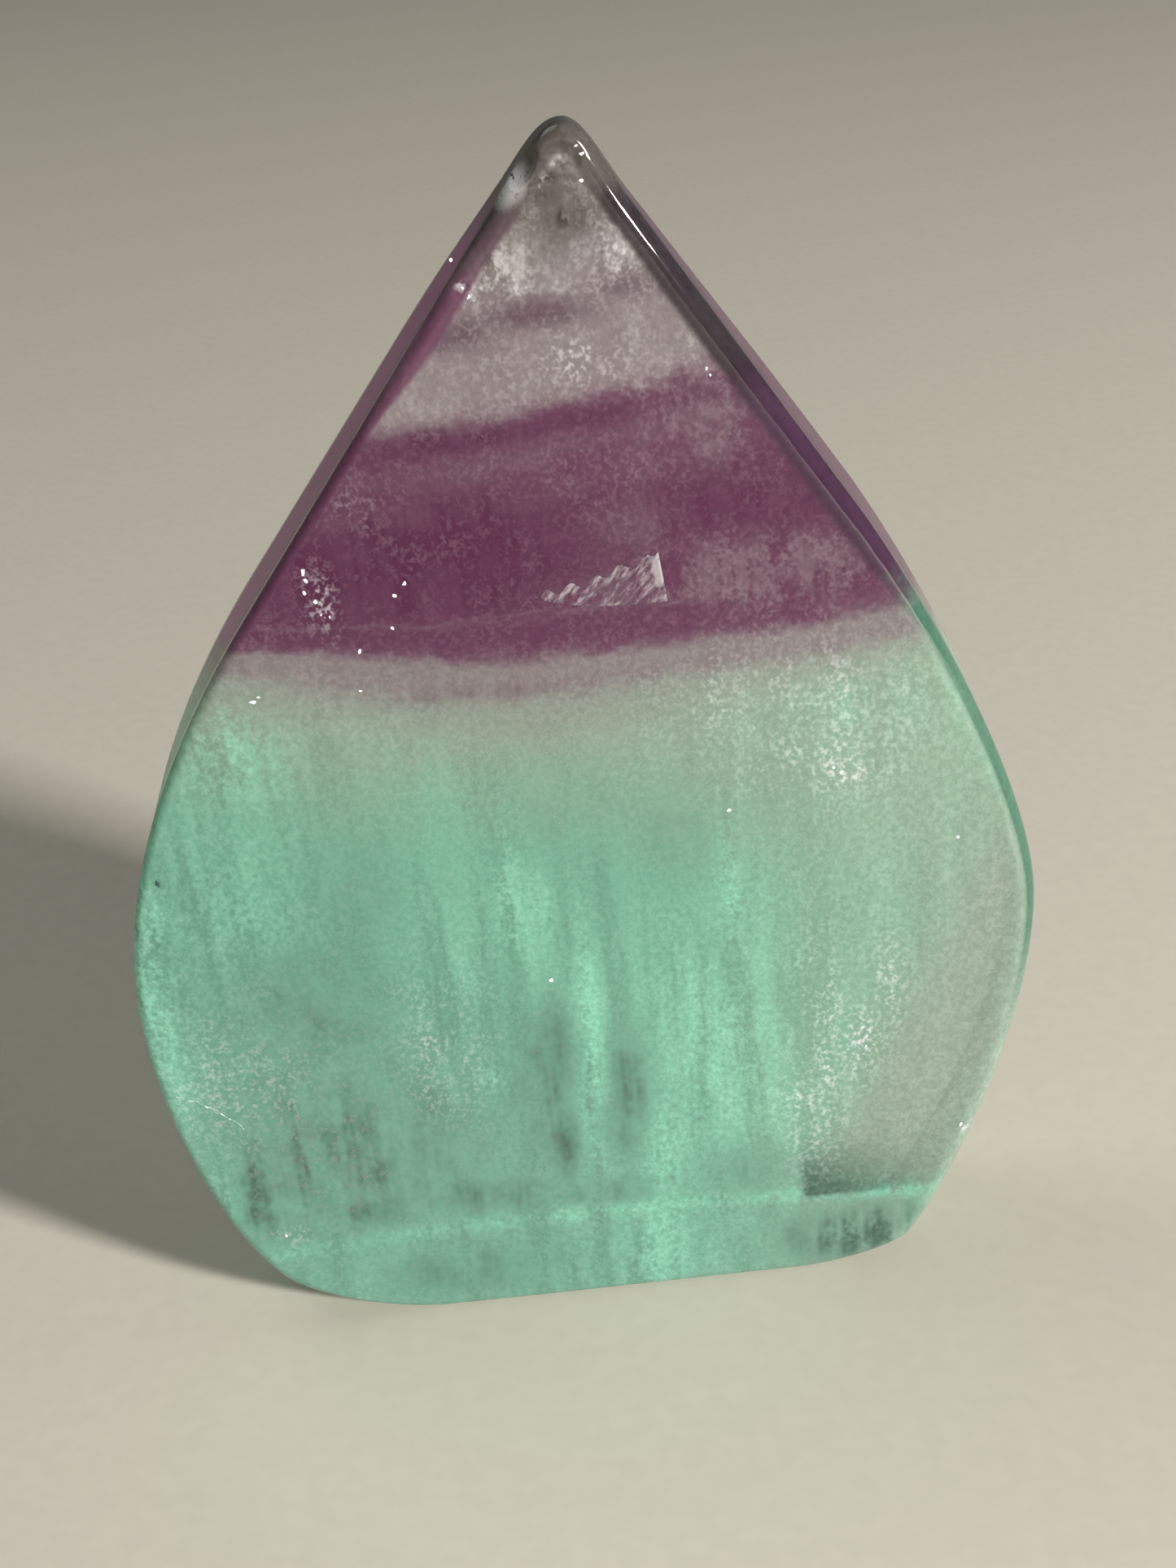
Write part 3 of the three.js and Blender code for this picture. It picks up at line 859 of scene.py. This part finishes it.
class FLAME_OT_streaks(bpy.types.Operator):
    """Builds the milky upright streaks in the green zone"""

    bl_idname = "flame.streaks"
    bl_label = "Milky streaks"

    def execute(self, context):
        # Each streak is an upright leaf, from t = -1 at its foot to 1 and from s = -1 to 1 across it:
        # its width falls off with (1 - t^2) to the power 0.8, and it sways and bulges as sines of t.
        colours = context.scene.flame_colours
        rng = np.random.default_rng(5)
        rows, columns = 22, 7
        points, faces, count = [], [], 0
        t = np.linspace(-1, 1, rows)[:, None]
        s = np.linspace(-1, 1, columns)[None, :]
        for x, z, spread, reach, number in STREAK_GROUPS:
            for _ in range(number):
                at_x = x + rng.normal(0, spread * 0.5)
                at_z = z + rng.normal(0, reach * 0.25)
                half = reach * rng.uniform(0.3, 0.8)
                width = rng.uniform(0.12, 0.4) * (1 - t**2) ** 0.8 + 0.01
                lean = rng.normal(0, 0.05)
                sway = 0.12 * np.sin(t * rng.uniform(2, 6) + rng.uniform(0, 6))
                depth = rng.uniform(0.5, 4.5) + 0.25 * s * width + 0.2 * np.sin(t * 5 + rng.uniform(0, 6))
                leaf_x = at_x + lean * t * half + sway + s * width
                points.append(leaf_points(under_face(leaf_x, at_z + t * half, depth), 0.04))
                faces.append(sheet_faces(rows, columns) + count)
                count += len(points[-1])
        streaks = push_mesh("milky_streaks", np.vstack(points), np.vstack(faces))
        keep_piece(streaks, flaw_material(
            "milky streak", colours.flaw[:], colours.mint[:], 0.6, (1.6, 1.0, 0.5)))
        return {"FINISHED"}


class FLAME_OT_cracks(bpy.types.Operator):
    """Builds the hairline cracks: one from the left edge, and an upright one above the purple"""

    bl_idname = "flame.cracks"
    bl_label = "Hairline cracks"

    def execute(self, context):
        # Each crack is a sheet that follows a wavering line by u and goes in by v, deepest halfway.
        colours = context.scene.flame_colours
        flaw, mint = colours.flaw[:], colours.mint[:]
        purple, deep = colours.purple[:], colours.purple_deep[:]
        rows, columns = 14, 48
        u = np.linspace(0, 1, columns)[None, :]
        v = np.linspace(0, 1, rows)[:, None]
        inward = v * np.sin(u * math.pi) ** 0.5
        jitter = 0.07 * np.sin(u * 23) + 0.04 * np.sin(u * 61 + v * 3)
        edge_z = 20.6 - 3.1 * u + 0.5 * np.sin(u * math.pi) + jitter - 0.1 * v
        upright_x = -3.3 + 0.9 * u + 0.06 * np.sin(u * 17) + 0.12 * v
        cracks = (
            ("edge_crack", (-28.7 + 4.3 * u, edge_z, 0.06 + 0.7 * inward),
             ("open crack", flaw, mint, 0.9, (2.2, 1.5, 2.2))),
            # The upright crack is a real crack, and its dark tone is painted shade: the dark side that it
            # reflects.
            ("upright_crack", (upright_x, 67.9 + 4.0 * u, 0.15 + 1.6 * inward),
             ("shaded crack", deep, purple, 0.7, (1.5, 1.5, 0.8))),
        )
        for name, place, look in cracks:
            leaf = leaf_points(under_face(*place), 0.05)
            keep_piece(push_mesh(name, leaf, sheet_faces(rows, columns)), flaw_material(*look))
        return {"FINISHED"}


class FLAME_OT_speck(bpy.types.Operator):
    """Builds the tiny dark speck near the left edge"""

    bl_idname = "flame.speck"
    bl_label = "Dark speck"

    def execute(self, context):
        # A lumpy grain: a ball whose radius swells by a sine of both its angles, taller than wide
        rows, columns = 9, 14
        tilt = np.linspace(0.05, math.pi - 0.05, rows)[:, None]
        turn = np.linspace(0, 2 * math.pi, columns, endpoint=False)[None, :]
        lump = 1 + 0.2 * np.sin(turn * 3 + tilt * 2)
        x = -26.95 + 0.16 * lump * np.sin(tilt) * np.cos(turn)
        z = 37.1 + 0.3 * lump * np.cos(tilt)
        y = skin_depth(x, z) + 0.05 + 0.08 * lump * np.sin(tilt) * np.sin(turn)
        points = np.stack([x, y, z], -1).reshape(-1, 3)
        caps = [tuple(range(columns)), tuple(range(rows * columns - 1, (rows - 1) * columns - 1, -1))]
        speck = push_mesh("dark_speck", points, tube_faces(rows, columns)[:, ::-1], caps)
        keep_piece(speck, speckled_material(
            "dark inclusion", (0.01, 0.03, 0.03), (0.04, 0.09, 0.08), 4.0, 2.0, 0.3, spread=(0, 1)))
        return {"FINISHED"}


class FLAME_OT_flakes(bpy.types.Operator):
    """Builds the bright flakes: the named ones break the polish and are painted glints of it, the others
    sparkle inside
    """

    bl_idname = "flame.flakes"
    bl_label = "Flakes"

    def execute(self, context):
        # Each flake is a ring of corners at uneven reaches, closed by a point in front and one behind.
        # The inner ones are strewn by bearing and by the root of a share of the outline's reach there.
        colours = context.scene.flame_colours
        rng = np.random.default_rng(9)
        named = len(SURFACE_FLAKES_AND_GLINTS)
        spread = np.sqrt(rng.random(INNER_FLAKES)) * 0.85
        around = rng.uniform(-math.pi, math.pi, INNER_FLAKES)
        outline = np.vstack([bend_points(*part) for part in OUTLINE]) - FACE_MIDDLE
        bearing = np.arctan2(outline[:, 1], outline[:, 0])
        order = np.argsort(bearing)
        edge = np.interp(around, bearing[order], np.hypot(*outline.T)[order], period=2 * math.pi)
        x = FACE_MIDDLE[0] + edge * spread * np.cos(around)
        z = FACE_MIDDLE[1] + edge * spread * np.sin(around)
        half_width = 0.04 + 0.09 * rng.random(INNER_FLAKES) ** 3
        at = np.vstack([SURFACE_FLAKES_AND_GLINTS, np.c_[x, z, half_width]])
        corners = 7
        angle = np.linspace(0, 2 * math.pi, corners, endpoint=False)
        wobble = rng.uniform(0.55, 1.25, (len(at), corners))
        turn = rng.uniform(0, math.pi, len(at))[:, None]
        slim = rng.uniform(0.4, 0.9, len(at))[:, None]
        along = at[:, 2:3] * wobble * np.cos(angle)
        across = at[:, 2:3] * wobble * np.sin(angle) * slim
        ring_x = at[:, 0:1] + along * np.cos(turn) - across * np.sin(turn)
        ring_z = at[:, 1:2] + along * np.sin(turn) + across * np.cos(turn)
        depth = rng.uniform(0.4, 4.0, INNER_FLAKES)
        own_x = np.c_[ring_x, at[:, 0], at[:, 0]]
        own_z = np.c_[ring_z, at[:, 1], at[:, 1]]
        thick = 0.25 * at[named:, 2:3] * np.r_[np.zeros(corners), -1, 1]
        sunk = under_face(own_x[named:], own_z[named:], depth[:, None] + thick)
        lift = np.r_[np.full(corners, -0.012), -0.03, 0.1]
        flush = skin_depth(own_x[:named], own_z[:named]) + lift
        block = np.concatenate([np.stack([own_x[:named], flush, own_z[:named]], -1), sunk])
        block[..., 1] = np.maximum(block[..., 1], LOW.y / MM + SKIN_GAP)
        i = np.arange(corners)
        step = (i + 1) % corners
        pattern = np.vstack([np.c_[i, step, np.full(corners, corners)],
                             np.c_[step, i, np.full(corners, corners + 1)]])
        faces = (pattern[None] + (np.arange(len(at)) * (corners + 2))[:, None, None]).reshape(-1, 3)
        flakes = push_mesh("bright_flakes", block.reshape(-1, 3), (), faces, smooth=False)
        keep_piece(flakes, speckled_material(
            "bright flake", (0.85, 0.88, 0.92), colours.flaw[:], 2.0, 1.0, 0.25, ior=FLUORITE_IOR))
        return {"FINISHED"}


def add_softbox(scene, name, place, aim, width, power, colour):
    """A square area light that looks at a point."""
    light = bpy.data.lights.new(name, "AREA")
    light.size = width
    light.energy = power
    light.color = colour
    made = bpy.data.objects.new(name, light)
    made.location = place
    toward = np.array(aim) - np.array(place)
    toward /= np.linalg.norm(toward)
    side = np.cross(toward, (0, 0, 1))
    side /= np.linalg.norm(side)
    turn = Matrix((side, np.cross(side, toward), -toward)).transposed()
    made.rotation_euler = turn.to_euler()
    scene.collection.objects.link(made)


def add_camera(scene):
    """The camera: it looks down by the pitch, and is turned about its own axis by the roll."""
    pitch, roll = math.radians(28), math.radians(5.62)
    right = (math.cos(roll), -math.sin(roll) * math.sin(pitch), -math.sin(roll) * math.cos(pitch))
    up = (math.sin(roll), math.cos(roll) * math.sin(pitch), math.cos(roll) * math.cos(pitch))
    back_way = (0, -math.cos(pitch), math.sin(pitch))
    lens = bpy.data.cameras.new("camera")
    lens.lens = 54.0
    lens.clip_start = 0.005
    lens.clip_end = 20
    camera = bpy.data.objects.new("camera", lens)
    turn = Matrix((right, up, back_way)).transposed().to_4x4()
    camera.matrix_world = Matrix.Translation((0.00126, LOW.y - 0.13176, 0.11145)) @ turn
    scene.collection.objects.link(camera)
    scene.camera = camera


class FLAME_OT_stage(bpy.types.Operator):
    """Builds the pale floor, the soft lights and the camera"""

    bl_idname = "flame.stage"
    bl_label = "Stage"

    def execute(self, context):
        # The floor is a round sheet of rings, just under the foot.
        scene = context.scene
        radius = np.array((0.0001, 0.06, 0.15, 0.4, 1.0, 2.5))[:, None] / MM
        angle = np.linspace(0, 2 * math.pi, 96, endpoint=False)
        x, y = radius * np.cos(angle), radius * np.sin(angle)
        points = np.stack([x, y, np.full_like(x, -0.06)], -1).reshape(-1, 3)
        middle = [tuple(range(len(angle)))]
        floor = push_mesh("studio_floor", points, tube_faces(len(radius), len(angle)), middle)
        tone = scene.flame_colours.floor[:]
        floor.data.materials.append(
            speckled_material("pale floor", mixed(tone, BLACK, 0.03), tone, 0.6, 1.0, 0.85))

        add_softbox(scene, "key softbox", (0.61, -0.52, 0.258), (0, 0, 0.035), 0.085, 14.5,
                    (1.0, 0.97, 0.92))
        add_softbox(scene, "top softbox", (-0.42, 0.2, 0.8), (0, 0.02, 0), 0.5, 1.6, (1.0, 0.98, 0.95))
        world = bpy.data.worlds.new("studio air")
        world.use_nodes = True
        back = world.node_tree.nodes["Background"]
        back.inputs["Color"].default_value = (0.62, 0.62, 0.58, 1)
        back.inputs["Strength"].default_value = 0.2
        scene.world = world
        scene.view_settings.view_transform = "Standard"
        add_camera(scene)
        return {"FINISHED"}


class FLAME_PT_panel(bpy.types.Panel):
    """Sizes, colours and pieces of the fluorite flame"""

    bl_label = "Fluorite Flame"
    bl_space_type = "VIEW_3D"
    bl_region_type = "UI"
    bl_category = "Fluorite"

    def draw(self, context):
        layout = self.layout
        for group in (context.scene.flame_sizes, context.scene.flame_colours):
            box = layout.box()
            for name in group.bl_rna.properties.keys():
                if name not in ("rna_type", "name"):
                    box.prop(group, name)
        for piece in PIECES:
            layout.operator(piece.bl_idname)


PIECES = (FLAME_OT_stage, FLAME_OT_stone, FLAME_OT_feather, FLAME_OT_streaks, FLAME_OT_cracks,
          FLAME_OT_speck, FLAME_OT_flakes)
CLASSES = (FlameSizes, FlameColours, *PIECES, FLAME_PT_panel)
GROUPS = (build_place_group, build_milk_group)


def register():
    """Registers the classes and gives the scene its sizes and colours."""
    for kind in CLASSES:
        bpy.utils.register_class(kind)
    bpy.types.Scene.flame_sizes = bpy.props.PointerProperty(type=FlameSizes)
    bpy.types.Scene.flame_colours = bpy.props.PointerProperty(type=FlameColours)


def unregister():
    """Takes the scene's sizes and colours and the classes away again."""
    del bpy.types.Scene.flame_colours
    del bpy.types.Scene.flame_sizes
    for kind in reversed(CLASSES):
        bpy.utils.unregister_class(kind)


def main():
    """Builds the stage and every piece."""
    register()
    for build in GROUPS:
        build()
    for piece in PIECES:
        module, name = piece.bl_idname.split(".")
        getattr(getattr(bpy.ops, module), name)()


if __name__ == "__main__":
    main()
